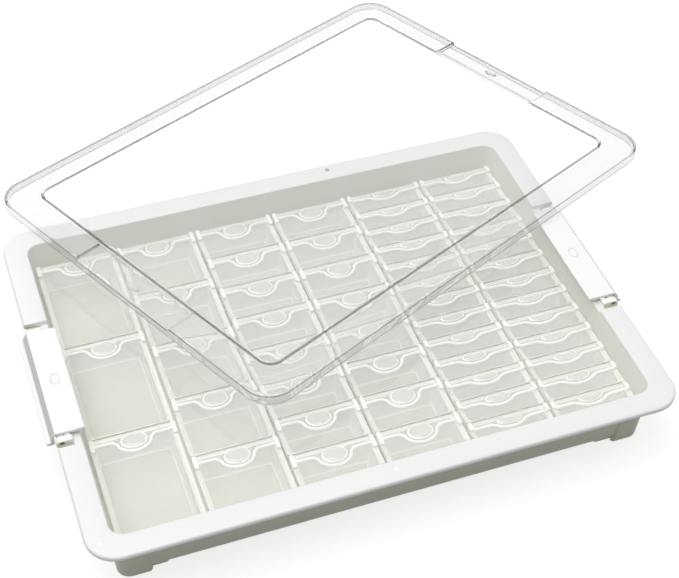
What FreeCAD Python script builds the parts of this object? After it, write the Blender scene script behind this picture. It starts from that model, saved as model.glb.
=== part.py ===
import FreeCAD, Part
import math
import os

import Sketcher

os.makedirs("parts", exist_ok=True)
doc = FreeCAD.newDocument("bead_storage_box")

# Driving dimensions in mm, each written once. Everything below is worked out from these.
DIMENSIONS = [
    ("tray_length", 336.0),
    ("tray_width", 253.5),
    ("tray_height", 37.8),
    ("tray_corner_radius", 17.0),
    ("rim_width", 14.0),
    ("rim_thickness", 2.2),
    ("rim_lip_height", 3.0),
    ("tray_wall", 2.0),
    ("tray_floor", 2.0),
    ("cavity_corner_radius", 8.0),
    ("cavity_draft", 5.0),
    ("tray_bottom_radius", 5.0),
    ("cavity_bottom_edge", 1.2),
    ("foot_height", 2.5),
    ("foot_length", 25.0),
    ("foot_inset", 2.6),
    ("column_gap", 1.6),
    ("row_gap", 0.6),
    ("block_side_room", 3.3),
    ("block_end_room", 5.05),
    ("seat_gap", 0.3),
    ("tub_height", 18.9),
    ("tub_wall", 1.2),
    ("tub_floor", 1.2),
    ("tub_side_ledge", 2.0),
    ("tub_end_ledge", 0.9),
    ("tub_ledge_thickness", 1.2),
    ("tub_draft", 1.5),
    ("tub_inner_chamfer", 1.6),
    ("lid_seat_gap", 0.3),
    ("lid_thickness", 1.4),
    ("lid_rib_height", 1.2),
    ("lid_rib_width", 1.6),
    ("lid_rib_inset", 3.0),
    ("thumb_oval_length", 17.0),
    ("thumb_oval_width", 13.0),
    ("thumb_groove", 0.8),
    ("thumb_dome_height", 1.0),
    ("ear_length", 9.0),
    ("ear_width", 2.6),
    ("hinge_edge_chamfer", 0.5),
    ("cover_skirt", 7.0),
    ("cover_wall", 1.6),
    ("cover_band", 18.8),
    ("cover_step", 2.5),
    ("cover_panel_radius", 9.0),
    ("cover_recess_depth", 2.0),
    ("cover_recess_length", 84.0),
    ("cover_bump_length", 10.0),
    ("cover_bump_width", 5.0),
    ("cover_bump_height", 0.8),
    ("latch_length", 78.0),
    ("latch_reach", 13.8),
    ("latch_plate", 2.0),
    ("latch_overhang", 5.5),
    ("latch_drop", 4.5),
    ("latch_lip", 2.4),
    ("latch_lip_fall", 0.6),
    ("latch_pivot_inset", 3.2),
    ("latch_pivot_below_rim", 2.0),
    ("latch_plate_above_rim", 1.9),
    ("latch_corner_radius", 2.6),
    ("latch_dimple_radius", 5.0),
    ("latch_dimple_depth", 0.7),
    ("pin_radius", 1.5),
    ("pin_clearance", 0.08),
    ("pin_boss_radius", 2.4),
    ("pin_boss_length", 5.0),
    ("lug_thickness", 4.0),
    ("lug_gap", 0.8),
    ("lug_root", 1.0),
    ("bay_depth", 2.4),
    ("bay_end_gap", 3.2),
    ("bay_cut_inset", 8.5),
    ("cover_centre_x", 41.6),
    ("cover_centre_y", 116.9),
    ("cover_centre_z", 46.7),
    ("cover_yaw", 25.03),
    ("cover_pitch", 1.57),
    ("cover_roll", -2.41),
]

# Containers of one size in each column, from the left: how many share the column's length.
COLUMN_COUNTS = [("large", 3), ("medium", 5), ("small", 8), ("small", 8), ("tiny", 13), ("tiny", 13)]
# Flats that stand for a half round on a flip lid, few because fifty lids repeat them.
HALF_ROUND_FLATS = 4
# Largest share of a lid's length that the thumb oval takes, which only the shortest lids reach.
THUMB_SHARE = 0.5
# How far a cut runs past an open side, and how close two lengths count as equal, in mm.
CUT_PAST = 1.0
SAME = 0.01
# Columns whose front container is a loose body of its own, so that it can be lifted out.
LIFTING_COLUMNS = (1, 2, 3, 5, 6)

sheet = doc.addObject("Spreadsheet::Sheet", "Dimensions")
for row, (alias, value) in enumerate(DIMENSIONS, start=1):
    sheet.set(f"A{row}", alias)
    sheet.set(f"B{row}", str(value))
    sheet.setAlias(f"B{row}", alias)
doc.recompute()


class Size:
    """The sheet's values by name, for outlines that a script draws."""

    def __getattr__(self, name):
        return float(sheet.get(name))


size = Size()
GROUND = "XY_Plane"
FRONT = "XZ_Plane"


def plane_of(body, role):
    return next(f for f in body.Origin.OriginFeatures if f.Role == role)


def new_body(name):
    body = doc.addObject("PartDesign::Body", name)
    body.Label = name
    return body


def new_sketch(body, name, height=0.0, plane=GROUND):
    """A sketch on one of the body's own planes, moved along the plane's normal by height."""
    sketch = body.newObject("Sketcher::SketchObject", name)
    sketch.AttachmentSupport = [(plane_of(body, plane), "")]
    sketch.MapMode = "FlatFace"
    if isinstance(height, str):
        sketch.setExpression("AttachmentOffset.Base.z", height)
    else:
        sketch.AttachmentOffset = FreeCAD.Placement(
            FreeCAD.Vector(0, 0, height), FreeCAD.Rotation()
        )
    return sketch


def draw(sketch, points):
    """Closed outline: each item is a corner (x, y), or (x, y, bulge_x, bulge_y) for an arc
    that ends at x, y and passes through the bulge point."""
    vectors = [FreeCAD.Vector(p[0], p[1], 0) for p in points]
    for index, item in enumerate(points):
        start = vectors[index - 1]
        end = vectors[index]
        if len(item) == 4:
            through = FreeCAD.Vector(item[2], item[3], 0)
            sketch.addGeometry(Part.Arc(start, through, end), False)
        else:
            sketch.addGeometry(Part.LineSegment(start, end), False)


def rectangle(x0, y0, x1, y1):
    return [(x0, y0), (x1, y0), (x1, y1), (x0, y1)]


def rounded(half_x, half_y, radius, centre=(0.0, 0.0)):
    """Rectangle with round corners about a centre."""
    cx, cy = centre
    bulge = radius * (1 - math.sqrt(0.5))
    x, y, r, b = half_x, half_y, radius, bulge
    corners = [
        (-x, -y + r), (-x + r, -y, -x + b, -y + b),
        (x - r, -y), (x, -y + r, x - b, -y + b),
        (x, y - r), (x - r, y, x - b, y - b),
        (-x + r, y), (-x, y - r, -x + b, y - b),
    ]
    return [tuple(v + (cx, cy)[i % 2] for i, v in enumerate(c)) for c in corners]


def pad(body, name, sketch, length, down=False):
    """Adds the sketch's outline. Length is a value or an expression on the sheet."""
    feature = body.newObject("PartDesign::Pad", name)
    feature.Profile = sketch
    feature.Reversed = down
    set_length(feature, length)
    return feature


def pocket(body, name, sketch, length, down=True):
    """Cuts the sketch's outline away, downwards unless told otherwise."""
    feature = body.newObject("PartDesign::Pocket", name)
    feature.Profile = sketch
    feature.Reversed = not down
    set_length(feature, length)
    return feature


def set_length(feature, length):
    if isinstance(length, str):
        feature.setExpression("Length", length)
    else:
        feature.Length = length


def slope(body, name, base, test, neutral, angle, turned):
    """Draft on the side faces that pass a test, about a level face. Turned leans them the other way."""
    doc.recompute()
    feature = body.newObject("PartDesign::Draft", name)
    feature.Base = (base, [f"Face{i}" for i, f in enumerate(base.Shape.Faces, start=1) if test(f)])
    level = [f"Face{i}" for i, f in enumerate(base.Shape.Faces, start=1) if neutral(f)]
    feature.NeutralPlane = (base, level[:1])
    feature.Reversed = turned
    feature.setExpression("Angle", angle)
    return feature


def level_at(z):
    """Test for a flat face at one height."""
    return lambda f: at_height(f, z)


def side_within(x, y, low, high):
    """Test for upright faces that lie inside a box and between two heights."""
    def test(face):
        box = face.BoundBox
        inside = max(-box.XMin, box.XMax) < x + SAME and max(-box.YMin, box.YMax) < y + SAME
        return inside and abs(box.ZMin - low) < SAME and abs(box.ZMax - high) < SAME
    return test


def edges_where(shape, test):
    return [f"Edge{i}" for i, e in enumerate(shape.Edges, start=1) if test(e)]


def dress(body, kind, name, base, test, amount):
    """Fillet or chamfer on the edges of the last feature that pass a test."""
    doc.recompute()
    feature = body.newObject(f"PartDesign::{kind}", name)
    feature.Base = (base, edges_where(base.Shape, test))
    feature.setExpression("Radius" if kind == "Fillet" else "Size", amount)
    return feature


def at_height(piece, z):
    """Whether an edge or a face lies level at one height."""
    box = piece.BoundBox
    return abs(box.ZMin - z) < SAME and abs(box.ZMax - z) < SAME


# Levels and reaches that several sub-parts share.
rim_top = size.foot_height + size.tray_height
underside = size.foot_height
floor_top = underside + size.tray_floor
cavity_depth = rim_top - floor_top
half_length = size.tray_length / 2
half_width = size.tray_width / 2
cavity_half_x = half_length - size.rim_width
cavity_half_y = half_width - size.rim_width
draft_reach = math.tan(math.radians(size.cavity_draft))
block_width = 2 * (cavity_half_x - size.block_side_room)
column_pitch = (block_width + size.column_gap) / len(COLUMN_COUNTS)
block_length = 2 * (cavity_half_y - size.block_end_room) + size.row_gap
bay_half = (
    size.latch_length / 2
    + size.lug_gap
    + size.lug_thickness
    + size.bay_end_gap
)
pivot_x = half_length - size.latch_pivot_inset
pivot_z = rim_top - size.latch_pivot_below_rim
bay_floor = rim_top - size.bay_depth
bay_edge = half_length - size.bay_cut_inset
tub_seat = floor_top + size.seat_gap
lid_bottom = size.tub_height + size.lid_seat_gap
lid_top = lid_bottom + size.lid_thickness


def mirrored(points):
    """The same outline on the other side, in the same turning direction."""
    return [tuple(-v if i % 2 == 0 else v for i, v in enumerate(p)) for p in points]


def make_tray():
    """Open tray: sloping walls, flat rim with a turned-down lip, corner feet, two latch bays."""
    body = new_body("tray")
    outer_x = cavity_half_x + size.tray_wall
    outer_y = cavity_half_y + size.tray_wall
    outer_r = size.cavity_corner_radius + size.tray_wall

    walls = new_sketch(body, "wall_outline", rim_top)
    draw(walls, rounded(outer_x, outer_y, outer_r))
    pad(body, "walls", walls, "Dimensions.tray_height", down=True)
    cavity = new_sketch(body, "cavity_outline", rim_top)
    draw(cavity, rounded(cavity_half_x, cavity_half_y, size.cavity_corner_radius))
    hollow = pocket(body, "cavity", cavity, cavity_depth)
    inner = slope(
        body, "cavity_slope", hollow, side_within(cavity_half_x, cavity_half_y, floor_top, rim_top),
        level_at(rim_top), "Dimensions.cavity_draft", turned=False,
    )
    edged = dress(
        body, "Chamfer", "cavity_edge", inner,
        lambda e: at_height(e, floor_top), "Dimensions.cavity_bottom_edge",
    )
    shell = slope(
        body, "wall_slope", edged, side_within(outer_x, outer_y, underside, rim_top),
        level_at(rim_top), "Dimensions.cavity_draft", turned=True,
    )
    dress(
        body, "Fillet", "bottom_rounding", shell,
        lambda e: at_height(e, underside), "Dimensions.tray_bottom_radius",
    )

    rim = new_sketch(body, "rim_outline", rim_top)
    draw(rim, rounded(half_length, half_width, size.tray_corner_radius))
    draw(rim, rounded(cavity_half_x, cavity_half_y, size.cavity_corner_radius))
    pad(body, "rim", rim, "Dimensions.rim_lip_height", down=True)
    under = new_sketch(body, "rim_underside_outline", rim_top - size.rim_lip_height)
    lip_inner = size.tray_wall
    draw(
        under,
        rounded(half_length - lip_inner, half_width - lip_inner, size.tray_corner_radius - lip_inner),
    )
    draw(under, rounded(outer_x, outer_y, outer_r))
    pocket(
        body, "rim_underside", under,
        "Dimensions.rim_lip_height - Dimensions.rim_thickness", down=False,
    )

    feet = new_sketch(body, "foot_outline", 0.0)
    for sx in (-1, 1):
        for sy in (-1, 1):
            draw(feet, foot_outline(outer_x, outer_y, outer_r, sx, sy))
    pad(body, "feet", feet, "Dimensions.foot_height + Dimensions.tray_floor / 2")
    body.Tip = cut_latch_bays(body)
    return body


def foot_outline(outer_x, outer_y, outer_r, sx, sy):
    """Square foot that follows the body's rounded corner."""
    bottom_slope = size.tray_height * draft_reach
    x = outer_x - bottom_slope - size.foot_inset
    y = outer_y - bottom_slope - size.foot_inset
    r = outer_r
    bulge = r * (1 - math.sqrt(0.5))
    inner_x = x - size.foot_length
    inner_y = y - size.foot_length
    points = [
        (inner_x, inner_y), (x, inner_y), (x, y - r),
        (x - r, y, x - bulge, y - bulge), (inner_x, y),
    ]
    return [tuple((sx, sy)[i % 2] * v for i, v in enumerate(p)) for p in points]


def cut_latch_bays(body):
    """Lowers the rim under each latch, opens it outside the pivot and stands two pin lugs there."""
    lowered = new_sketch(body, "bay_outline", rim_top)
    opened = new_sketch(body, "bay_opening_outline", rim_top)
    for side in (-1, 1):
        near, far = side * (cavity_half_x - size.tray_wall), side * (half_length + size.tray_wall)
        draw(lowered, rectangle(min(near, far), -bay_half, max(near, far), bay_half))
        near = side * bay_edge
        draw(opened, rectangle(min(near, far), -bay_half, max(near, far), bay_half))
    pocket(body, "bays", lowered, "Dimensions.bay_depth")
    pocket(body, "bay_openings", opened, "Dimensions.bay_depth + 2 * Dimensions.rim_lip_height")
    plate = new_sketch(body, "bay_plate_outline", bay_floor)
    for side in (-1, 1):
        near = side * (cavity_half_x + size.tray_wall / 2)
        far = side * bay_edge
        draw(plate, rectangle(min(near, far), -bay_half, max(near, far), bay_half))
    pad(body, "bay_plates", plate, "Dimensions.rim_thickness", down=True)
    lugs = new_sketch(body, "lug_outline", bay_floor - size.rim_thickness)
    lug_in = size.latch_length / 2 + size.lug_gap
    lug_out = lug_in + size.lug_thickness
    for side in (-1, 1):
        near, far = side * (bay_edge - size.lug_root), side * half_length
        for end in (-1, 1):
            y0, y1 = sorted((end * lug_in, end * lug_out))
            draw(lugs, rectangle(min(near, far), y0, max(near, far), y1))
    pad(body, "lugs", lugs, rim_top - bay_floor + size.rim_thickness)
    holes = new_sketch(body, "pin_hole_outline", 0.0, FRONT)
    for side in (-1, 1):
        centre = FreeCAD.Vector(side * pivot_x, pivot_z, 0)
        circle = Part.Circle(centre, FreeCAD.Vector(0, 0, 1), size.pin_radius + size.pin_clearance)
        holes.addGeometry(circle, False)
    drilled = body.newObject("PartDesign::Pocket", "pin_holes")
    drilled.Profile = holes
    drilled.Midplane = True
    drilled.Length = 2 * (lug_out + CUT_PAST)
    return drilled


def container_length(count):
    return block_length / count - size.row_gap


def make_tub(name, count):
    """Clear open container with a ledge round its mouth. Its origin is under its middle."""
    body = new_body(name)
    half_x = (column_pitch - size.column_gap) / 2
    half_y = container_length(count) / 2
    wall_x = half_x - size.tub_side_ledge
    wall_y = half_y - size.tub_end_ledge

    walls = new_sketch(body, "tub_wall_outline", "Dimensions.tub_height")
    draw(walls, rectangle(-wall_x, -wall_y, wall_x, wall_y))
    block = pad(body, "tub_walls", walls, "Dimensions.tub_height", down=True)
    slope(
        body, "tub_slope", block, side_within(wall_x, wall_y, 0, size.tub_height),
        level_at(size.tub_height), "Dimensions.tub_draft", turned=True,
    )
    ledge = new_sketch(body, "ledge_outline", "Dimensions.tub_height")
    draw(ledge, rectangle(-half_x, -half_y, half_x, half_y))
    pad(body, "ledge", ledge, "Dimensions.tub_ledge_thickness", down=True)
    inside = new_sketch(body, "inside_outline", "Dimensions.tub_height")
    inner_x = wall_x - size.tub_wall
    inner_y = wall_y - size.tub_wall
    draw(inside, rectangle(-inner_x, -inner_y, inner_x, inner_y))
    hollow = pocket(body, "inside", inside, "Dimensions.tub_height - Dimensions.tub_floor")
    hollow = slope(
        body, "inside_slope", hollow, side_within(inner_x, inner_y, size.tub_floor, size.tub_height),
        level_at(size.tub_height), "Dimensions.tub_draft", turned=False,
    )
    last = dress(
        body, "Chamfer", "scoop_edges", hollow,
        lambda e: at_height(e, size.tub_floor), "Dimensions.tub_inner_chamfer",
    )
    body.Tip = last
    return body


def make_flip_lid(name, count):
    """Clear flip-up lid: flat plate, rib that runs round an oval thumb dome, ears at the back."""
    body = new_body(name)
    half_x = (column_pitch - size.column_gap) / 2
    half_y = container_length(count) / 2
    plate = new_sketch(body, "plate_outline", "Dimensions.tub_height + Dimensions.lid_seat_gap")
    draw(plate, rectangle(-half_x, -half_y, half_x, half_y))
    slab = pad(body, "plate", plate, "Dimensions.lid_thickness")
    dress(
        body, "Chamfer", "hinge_edge", slab,
        lambda e: at_height(e, lid_bottom) and abs(e.BoundBox.YMax + half_y) < SAME,
        "Dimensions.hinge_edge_chamfer",
    )
    rib = new_sketch(
        body, "rib_outline",
        "Dimensions.tub_height + Dimensions.lid_seat_gap + Dimensions.lid_thickness",
    )
    draw(rib, rib_outline(half_x, half_y))
    pad(body, "rib", rib, "Dimensions.lid_rib_height")
    dome = new_sketch(
        body, "thumb_dome_outline",
        "Dimensions.tub_height + Dimensions.lid_seat_gap + Dimensions.lid_thickness",
    )
    draw(dome, oval_points(half_y, -size.thumb_groove, 0, 2 * math.pi)[:-1])
    body.Tip = pad(body, "thumb_dome", dome, "Dimensions.thumb_dome_height")
    return body


def oval_sizes(half_y):
    """Half length and half width of the thumb oval, narrowed on the shortest lids."""
    half_width = min(size.thumb_oval_width, THUMB_SHARE * 2 * half_y) / 2
    return size.thumb_oval_length / 2, half_width


def oval_points(half_y, wider, start, end):
    """Points round the thumb oval between two angles, or round an oval wider by a margin."""
    along, across = oval_sizes(half_y)
    steps = int(HALF_ROUND_FLATS * abs(end - start) / math.pi)
    angles = [start + (end - start) * i / steps for i in range(steps + 1)]
    centre = half_y - across
    return [
        ((along + wider) * math.cos(a), centre + (across + wider) * math.sin(a)) for a in angles
    ]


def oval_meets(half_y, wider, y):
    """Angle above the oval's middle at which it meets a line along the lid."""
    across = oval_sizes(half_y)[1]
    return math.asin((y - half_y + across) / (across + wider))


def rib_outline(half_x, half_y):
    """Rib inside the back edge that runs round the front of the thumb oval, from ear to ear."""
    back = half_y - size.lid_rib_inset
    front = back - size.lid_rib_width
    ear_front = half_y - size.ear_length
    ear_x = half_x - size.ear_width
    outer = oval_meets(half_y, size.lid_rib_width, front)
    inner = oval_meets(half_y, 0, back)
    return [
        (-ear_x, back), (-ear_x, half_y), (-half_x, half_y), (-half_x, ear_front),
        (-ear_x, ear_front), (-ear_x, front),
        *oval_points(half_y, size.lid_rib_width, math.pi - outer, 2 * math.pi + outer),
        (ear_x, front), (ear_x, ear_front), (half_x, ear_front), (half_x, half_y),
        (ear_x, half_y), (ear_x, back),
        *oval_points(half_y, 0, 2 * math.pi + inner, math.pi - inner),
    ]


def make_cover():
    """Clear cover of the whole tray. Its origin is on top of its flat band, in the middle."""
    body = new_body("tray_lid")
    wall = size.cover_wall
    panel_x = half_length - size.cover_band
    panel_y = half_width - size.cover_band
    outline = new_sketch(body, "cover_outline", 0.0)
    draw(outline, rounded(half_length, half_width, size.tray_corner_radius))
    block = pad(body, "cover_block", outline, "Dimensions.cover_skirt", down=True)
    panel = new_sketch(body, "panel_outline", 0.0)
    draw(panel, rounded(panel_x, panel_y, size.cover_panel_radius))
    pad(body, "raised_panel", panel, "Dimensions.cover_step")
    recess = new_sketch(body, "latch_recess_outline", 0.0)
    half_recess = size.cover_recess_length / 2
    for side in (-1, 1):
        near, far = side * panel_x, side * (half_length + CUT_PAST)
        draw(recess, rectangle(min(near, far), -half_recess, max(near, far), half_recess))
    pocket(body, "latch_recesses", recess, "Dimensions.cover_recess_depth")

    under = new_sketch(body, "skirt_inside_outline", -size.cover_skirt)
    draw(under, skirt_inside(half_length - wall, half_width - wall, panel_x - wall, half_recess + wall))
    pocket(body, "skirt_inside", under, "Dimensions.cover_skirt - Dimensions.cover_wall", down=False)
    low = new_sketch(body, "low_inside_outline", -size.cover_skirt)
    for side in (-1, 1):
        near, far = side * (panel_x - wall - CUT_PAST), side * (half_length + CUT_PAST)
        draw(low, rectangle(min(near, far), -half_recess - wall, max(near, far), half_recess + wall))
    low_cut = size.cover_skirt - size.cover_recess_depth - wall
    pocket(body, "low_inside", low, low_cut, down=False)
    step = new_sketch(body, "panel_inside_outline", -size.cover_skirt)
    draw(step, rounded(panel_x - wall, panel_y - wall, size.cover_panel_radius - wall))
    pocket(
        body, "panel_inside", step,
        "Dimensions.cover_skirt + Dimensions.cover_step - Dimensions.cover_wall", down=False,
    )
    bumps = new_sketch(body, "catch_bump_outline", -size.cover_recess_depth)
    half_long = size.cover_bump_length / 2
    half_wide = size.cover_bump_width / 2
    bump_x = (half_length + panel_x) / 2
    for side in (-1, 1):
        draw(bumps, bump_outline(side * bump_x, half_wide, half_long))
    body.Tip = pad(body, "catch_bumps", bumps, "Dimensions.cover_bump_height")
    return body


def bump_outline(x, half_wide, half_long):
    """Long low bump with round ends, about a point on the X axis."""
    straight = half_long - half_wide
    return [
        (x + half_wide, straight), (x - half_wide, straight, x, half_long),
        (x - half_wide, -straight), (x + half_wide, -straight, x, -half_long),
    ]


def skirt_inside(x, y, panel_reach, recess_half):
    """Hollow under the flat band, drawn in at the two latch recesses."""
    r = size.tray_corner_radius - size.cover_wall
    b = r * (1 - math.sqrt(0.5))
    p, h = panel_reach, recess_half
    return [
        (-x, -y + r), (-x + r, -y, -x + b, -y + b), (x - r, -y), (x, -y + r, x - b, -y + b),
        (x, -h), (p, -h), (p, h), (x, h), (x, y - r), (x - r, y, x - b, y - b),
        (-x + r, y), (-x, y - r, -x + b, y - b), (-x, h), (-p, h), (-p, -h), (-x, -h),
    ]


def latch_profile():
    """Section across the latch, about its pivot: plate over the rim, rolled edge, grip lip."""
    top = size.latch_pivot_below_rim + size.latch_plate_above_rim
    bottom = top - size.latch_plate
    reach = size.latch_reach
    out = -size.latch_overhang
    wall = out + size.latch_plate
    drop = -size.latch_drop
    r = size.latch_corner_radius
    b = r * (1 - math.sqrt(0.5))
    lip = out - size.latch_lip
    lip_top = drop + size.latch_plate
    end_r = size.latch_plate / 2
    return [
        (reach - end_r, top), (reach - end_r, bottom, reach, (top + bottom) / 2),
        (wall, bottom), (wall, drop), (lip, drop), (lip, lip_top - size.latch_lip_fall),
        (out, lip_top),
        (out, top - r), (out + r, top, out + b, top - b),
    ]


def make_latch(name, side):
    """Snap latch over the middle of a short side. Its origin is its pivot."""
    body = new_body(name)
    section = new_sketch(body, "latch_section", 0.0, FRONT)
    points = latch_profile()
    draw(section, points if side < 0 else mirrored(points))
    plate = body.newObject("PartDesign::Pad", "latch_plate_run")
    plate.Profile = section
    plate.Midplane = True
    plate.setExpression("Length", "Dimensions.latch_length")

    for end in (-1, 1):
        start = end * (size.latch_length / 2 - size.pin_boss_length)
        boss = new_sketch(body, f"boss_outline_{end + 1}", -start, FRONT)
        boss.addGeometry(
            Part.Circle(FreeCAD.Vector(0, 0, 0), FreeCAD.Vector(0, 0, 1), size.pin_boss_radius), False
        )
        pad(body, f"boss_{end + 1}", boss, "Dimensions.pin_boss_length", down=end > 0)
        tip = new_sketch(body, f"pin_outline_{end + 1}", -start, FRONT)
        tip.addGeometry(
            Part.Circle(FreeCAD.Vector(0, 0, 0), FreeCAD.Vector(0, 0, 1), size.pin_radius), False
        )
        pad(
            body, f"pin_{end + 1}", tip,
            "Dimensions.pin_boss_length + Dimensions.lug_gap + Dimensions.lug_thickness",
            down=end > 0,
        )
    dimple = new_sketch(
        body, "dimple_outline", size.latch_pivot_below_rim + size.latch_plate_above_rim
    )
    dimple_x = -side * (size.latch_reach + out_reach()) / 2
    dimple.addGeometry(
        Part.Circle(
            FreeCAD.Vector(dimple_x, 0, 0), FreeCAD.Vector(0, 0, 1), size.latch_dimple_radius
        ),
        False,
    )
    body.Tip = pocket(body, "dimple", dimple, "Dimensions.latch_dimple_depth")
    return body


def out_reach():
    """Middle of the plate's flat top, as seen from the pivot."""
    return -size.latch_overhang + size.latch_corner_radius


def place(obj, x, y, z):
    obj.Placement = FreeCAD.Placement(FreeCAD.Vector(x, y, z), FreeCAD.Rotation())


def copy_of(master, name):
    """A body that repeats another body's shape, for the many equal containers."""
    body = new_body(name)
    base = body.newObject("PartDesign::FeatureBase", f"{name}_base")
    base.BaseFeature = master
    body.Tip = base
    return body


def column_x(column):
    return (column - (len(COLUMN_COUNTS) + 1) / 2) * column_pitch


def row_y(row, count):
    pitch = block_length / count
    return -block_length / 2 + (row - 0.5) * pitch


def make_containers():
    """Every container: loose ones as bodies of their own, the rest of the tubs as one group."""
    tubs, lids, seated, nodes = {}, {}, [], []
    for kind, count in COLUMN_COUNTS:
        if kind not in tubs:
            tubs[kind] = make_tub(f"tub_{kind}", count)
            lids[kind] = make_flip_lid(f"lid_{kind}", count)
    doc.recompute()
    for column, (kind, count) in enumerate(COLUMN_COUNTS, start=1):
        for row in range(1, count + 1):
            spot = (column_x(column), row_y(row, count), tub_seat)
            lid = copy_of(lids[kind], f"{kind}_lid_c{column}_r{row:02d}")
            place(lid, *spot)
            nodes.append(lid)
            loose = row == 1 and column in LIFTING_COLUMNS
            tub = copy_of(tubs[kind], f"{kind}_container_c{column}_r{row:02d}")
            place(tub, *spot)
            if loose:
                nodes.append(tub)
            else:
                seated.append(tub)
    group = doc.addObject("Part::Compound", "seated_containers")
    group.Label = "seated_containers"
    group.Links = seated
    nodes.append(group)
    return nodes


tray = make_tray()
cover = make_cover()
cover.Placement = FreeCAD.Placement(
    FreeCAD.Vector(size.cover_centre_x, size.cover_centre_y, size.cover_centre_z),
    FreeCAD.Rotation(size.cover_yaw, size.cover_pitch, size.cover_roll),
)
latch_left = make_latch("latch_left", -1)
place(latch_left, -pivot_x, 0, pivot_z)
latch_right = make_latch("latch_right", 1)
place(latch_right, pivot_x, 0, pivot_z)
sub_parts = [tray, cover, latch_left, latch_right] + make_containers()
doc.recompute()

for obj in doc.Objects:
    if "Invalid" in obj.State or "Error" in obj.State:
        raise RuntimeError(f"{obj.Name} ({obj.Label}) did not compute: {obj.State}")
for part in sub_parts:
    if part.Shape.isNull() or not part.Shape.isValid():
        raise RuntimeError(f"{part.Label} has no valid shape")
for part in sub_parts:
    part.Shape.exportStep(f"parts/{part.Label}.step")
    box = part.Shape.BoundBox
    print(
        f"{part.Label}: {len(part.Shape.Solids)} solid(s), {part.Shape.Volume:.0f} mm3,"
        f" x {box.XMin:.1f} {box.XMax:.1f} y {box.YMin:.1f} {box.YMax:.1f}"
        f" z {box.ZMin:.1f} {box.ZMax:.1f}"
    )
print(len(sub_parts), "sub-parts")
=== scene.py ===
import math

import bmesh
import bpy
import numpy as np
from mathutils import Euler, Matrix, Vector


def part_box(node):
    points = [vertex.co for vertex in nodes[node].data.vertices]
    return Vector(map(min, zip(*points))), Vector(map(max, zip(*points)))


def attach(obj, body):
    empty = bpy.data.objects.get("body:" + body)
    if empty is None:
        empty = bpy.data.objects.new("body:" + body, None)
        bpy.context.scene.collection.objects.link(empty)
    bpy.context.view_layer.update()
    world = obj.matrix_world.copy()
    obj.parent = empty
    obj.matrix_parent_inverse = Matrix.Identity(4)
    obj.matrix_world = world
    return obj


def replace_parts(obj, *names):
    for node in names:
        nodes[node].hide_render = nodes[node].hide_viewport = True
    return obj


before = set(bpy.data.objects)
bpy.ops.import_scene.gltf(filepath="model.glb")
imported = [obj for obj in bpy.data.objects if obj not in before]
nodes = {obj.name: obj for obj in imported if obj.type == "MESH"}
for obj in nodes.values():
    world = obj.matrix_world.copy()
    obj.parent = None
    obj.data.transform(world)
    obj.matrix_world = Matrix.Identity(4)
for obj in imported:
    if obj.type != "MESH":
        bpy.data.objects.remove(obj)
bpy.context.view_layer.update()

MM = 0.001

# Sizes read from the frame, in metres.
tray_low, tray_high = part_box("tray")
latch_low, latch_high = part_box("latch_left")
half_length = tray_high.x
half_width = tray_high.y
rim_top = tray_high.z

# The tray's mouldings, measured inwards from the edge of its rim.
RIM_WIDTH = 14.0 * MM
RIM_THICKNESS = 2.2 * MM
RIM_LIP = 3.0 * MM
WALL = 2.0 * MM
FOOT_HEIGHT = 2.5 * MM
FOOT_LENGTH = 25.0 * MM
FOOT_INSET = 2.6 * MM
PANEL_PROUD = 0.5 * MM
PANEL_LENGTH = 17.0 * MM
WALL_SLOPE = math.tan(math.radians(5.0))
BAY_DEPTH = 2.4 * MM
BAY_CUT = 8.5 * MM
LUG = 4.0 * MM
LUG_GAP = 0.8 * MM
BAY_END_GAP = 3.2 * MM
PIN_RADIUS = 1.5 * MM
BOSS_RADIUS = 2.4 * MM
PIVOT_INSET = 3.2 * MM
PIVOT_BELOW_RIM = 2.0 * MM

latch_half = 39.0 * MM
bay_half = latch_half + LUG_GAP + LUG + BAY_END_GAP
pivot_x = half_length - PIVOT_INSET
pivot_z = rim_top - PIVOT_BELOW_RIM
underside = FOOT_HEIGHT
floor_top = underside + WALL

# The cover's mouldings and where it lies across the tray.
COVER_SKIRT = 7.0 * MM
COVER_WALL = 1.6 * MM
COVER_BAND = 18.8 * MM
COVER_STEP = 2.5 * MM
COVER_RECESS = 2.0 * MM
COVER_RECESS_HALF = 42.0 * MM
COVER_PLACE = Vector((41.6, 116.9, 46.7)) * MM
COVER_TURN = Euler((math.radians(-2.41), math.radians(1.57), math.radians(25.03)), "XYZ")

# Containers and their flip lids.
LID_THICKNESS = 1.4 * MM
RIB_HEIGHT = 1.2 * MM
RIB_WIDTH = 2.1 * MM
RIB_INSET = 4.0 * MM
THUMB_ALONG = 8.5 * MM
THUMB_ACROSS = 6.5 * MM
THUMB_GROOVE = 0.8 * MM
EAR_LENGTH = 9.0 * MM
EAR_WIDTH = 2.6 * MM
TUB_WALL = 1.2 * MM
SIDE_LEDGE = 2.0 * MM
END_LEDGE = 0.9 * MM
LEDGE_THICKNESS = 1.2 * MM
TUB_SLOPE = math.tan(math.radians(1.5))


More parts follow.
